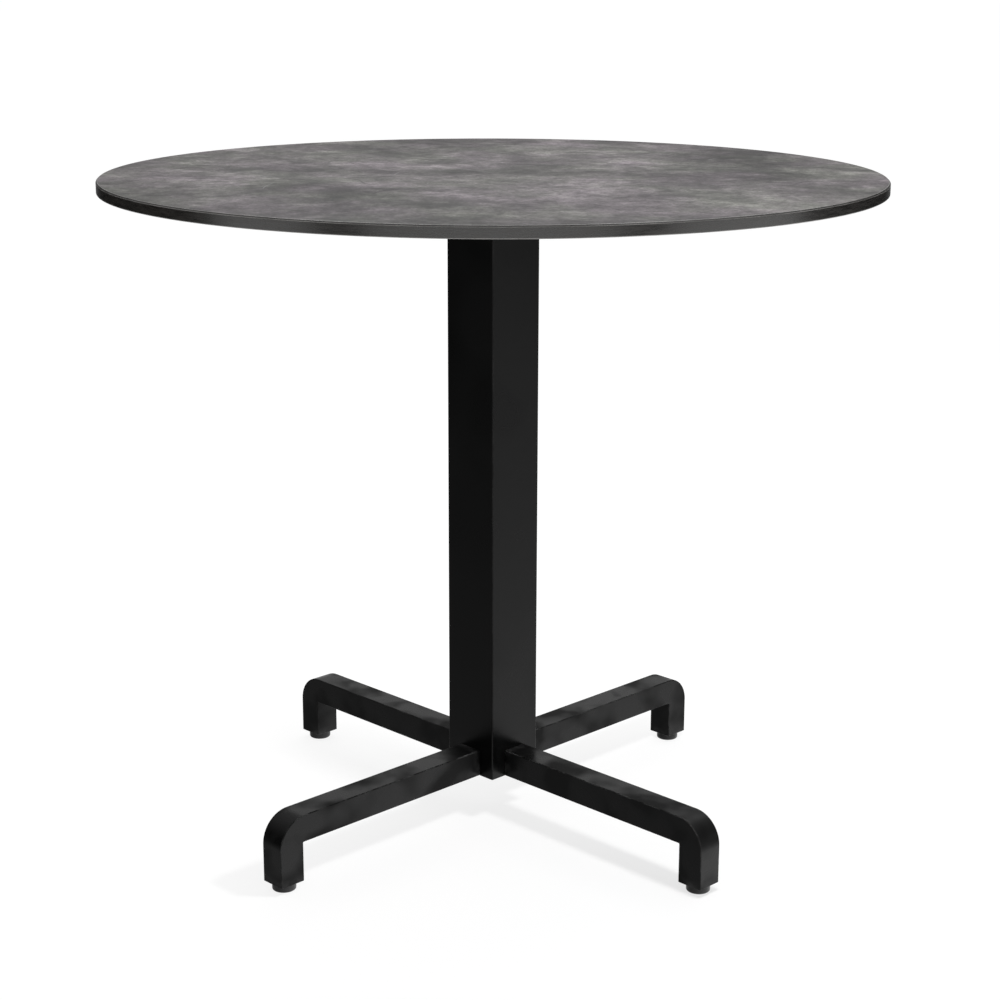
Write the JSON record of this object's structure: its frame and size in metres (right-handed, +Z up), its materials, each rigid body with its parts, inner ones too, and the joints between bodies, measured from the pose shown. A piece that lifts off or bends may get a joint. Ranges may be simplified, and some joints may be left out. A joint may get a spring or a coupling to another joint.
{
  "type": "bistro table",
  "caption": "Round stone-look table top on a square black column with four arms that turn down into legs on levelling feet.",
  "frame": {"origin": "on the floor under the column's axis, with the feet screwed fully in", "axes": "+Z up along the column; +X and +Y lie between the arms, which point along the diagonals; -Y is the front"},
  "size_m": [0.8499, 0.8499, 0.74],
  "materials": {
    "compact_laminate": "matt stone-look compact laminate with a near-black core edge",
    "black_column": "satin black powder coat on steel tube",
    "black_arm": "satin black powder coat on a casting",
    "cast_cross": "black powder-coated casting",
    "cast_hub": "as cast",
    "zinc_steel": "zinc plated",
    "brass_insert": "turned",
    "black_plastic": "moulded",
    "glide_plastic": "moulded nylon"
  },
  "bodies": {
    "frame": {"table_top": "compact_laminate", "top_inserts": "brass_insert", "top_cross": "cast_cross", "top_screws": "zinc_steel", "top_washers": "zinc_steel", "column": "black_column", "tie_rod": "zinc_steel", "tie_rod_upper_nut": "zinc_steel", "tie_rod_upper_washer": "zinc_steel", "tie_rod_lower_nut": "zinc_steel", "tie_rod_lower_washer": "zinc_steel", "hub_block": "cast_hub", "hub_cap": "black_plastic", "arm_screws": "zinc_steel", "arm_washers": "zinc_steel", "arm_front_left": "black_arm", "arm_front_right": "black_arm", "arm_back_left": "black_arm", "arm_back_right": "black_arm"},
    "glide_pad_front_left": {"glide_pad_front_left": "glide_plastic"},
    "glide_stud_front_left": {"glide_stud_front_left": "zinc_steel"},
    "glide_pad_front_right": {"glide_pad_front_right": "glide_plastic"},
    "glide_stud_front_right": {"glide_stud_front_right": "zinc_steel"},
    "glide_pad_back_left": {"glide_pad_back_left": "glide_plastic"},
    "glide_stud_back_left": {"glide_stud_back_left": "zinc_steel"},
    "glide_pad_back_right": {"glide_pad_back_right": "glide_plastic"},
    "glide_stud_back_right": {"glide_stud_back_right": "zinc_steel"}
  },
  "joints": [
    {"name": "glide_height_front_left", "type": "slide", "parent": "frame", "child": "glide_pad_front_left", "axis": [0, 0, -1], "range_m": [0, 0.012]},
    {"name": "glide_turn_front_left", "type": "hinge", "parent": "glide_pad_front_left", "child": "glide_stud_front_left", "pos_m": [-0.22238, -0.22238, 0], "axis": [0, 0, -1], "range_deg": [0, 3455]},
    {"name": "glide_height_front_right", "type": "slide", "parent": "frame", "child": "glide_pad_front_right", "axis": [0, 0, -1], "range_m": [0, 0.012]},
    {"name": "glide_turn_front_right", "type": "hinge", "parent": "glide_pad_front_right", "child": "glide_stud_front_right", "pos_m": [0.22238, -0.22238, 0], "axis": [0, 0, -1], "range_deg": [0, 3455]},
    {"name": "glide_height_back_left", "type": "slide", "parent": "frame", "child": "glide_pad_back_left", "axis": [0, 0, -1], "range_m": [0, 0.012]},
    {"name": "glide_turn_back_left", "type": "hinge", "parent": "glide_pad_back_left", "child": "glide_stud_back_left", "pos_m": [-0.22238, 0.22238, 0], "axis": [0, 0, -1], "range_deg": [0, 3455]},
    {"name": "glide_height_back_right", "type": "slide", "parent": "frame", "child": "glide_pad_back_right", "axis": [0, 0, -1], "range_m": [0, 0.012]},
    {"name": "glide_turn_back_right", "type": "hinge", "parent": "glide_pad_back_right", "child": "glide_stud_back_right", "pos_m": [0.22238, 0.22238, 0], "axis": [0, 0, -1], "range_deg": [0, 3455]}
  ],
  "couplings": [
    {"joint": "glide_height_front_left", "follows": "glide_turn_front_left", "m_per_rad": 0.00019894},
    {"joint": "glide_height_front_right", "follows": "glide_turn_front_right", "m_per_rad": 0.00019894},
    {"joint": "glide_height_back_left", "follows": "glide_turn_back_left", "m_per_rad": 0.00019894},
    {"joint": "glide_height_back_right", "follows": "glide_turn_back_right", "m_per_rad": 0.00019894}
  ]
}
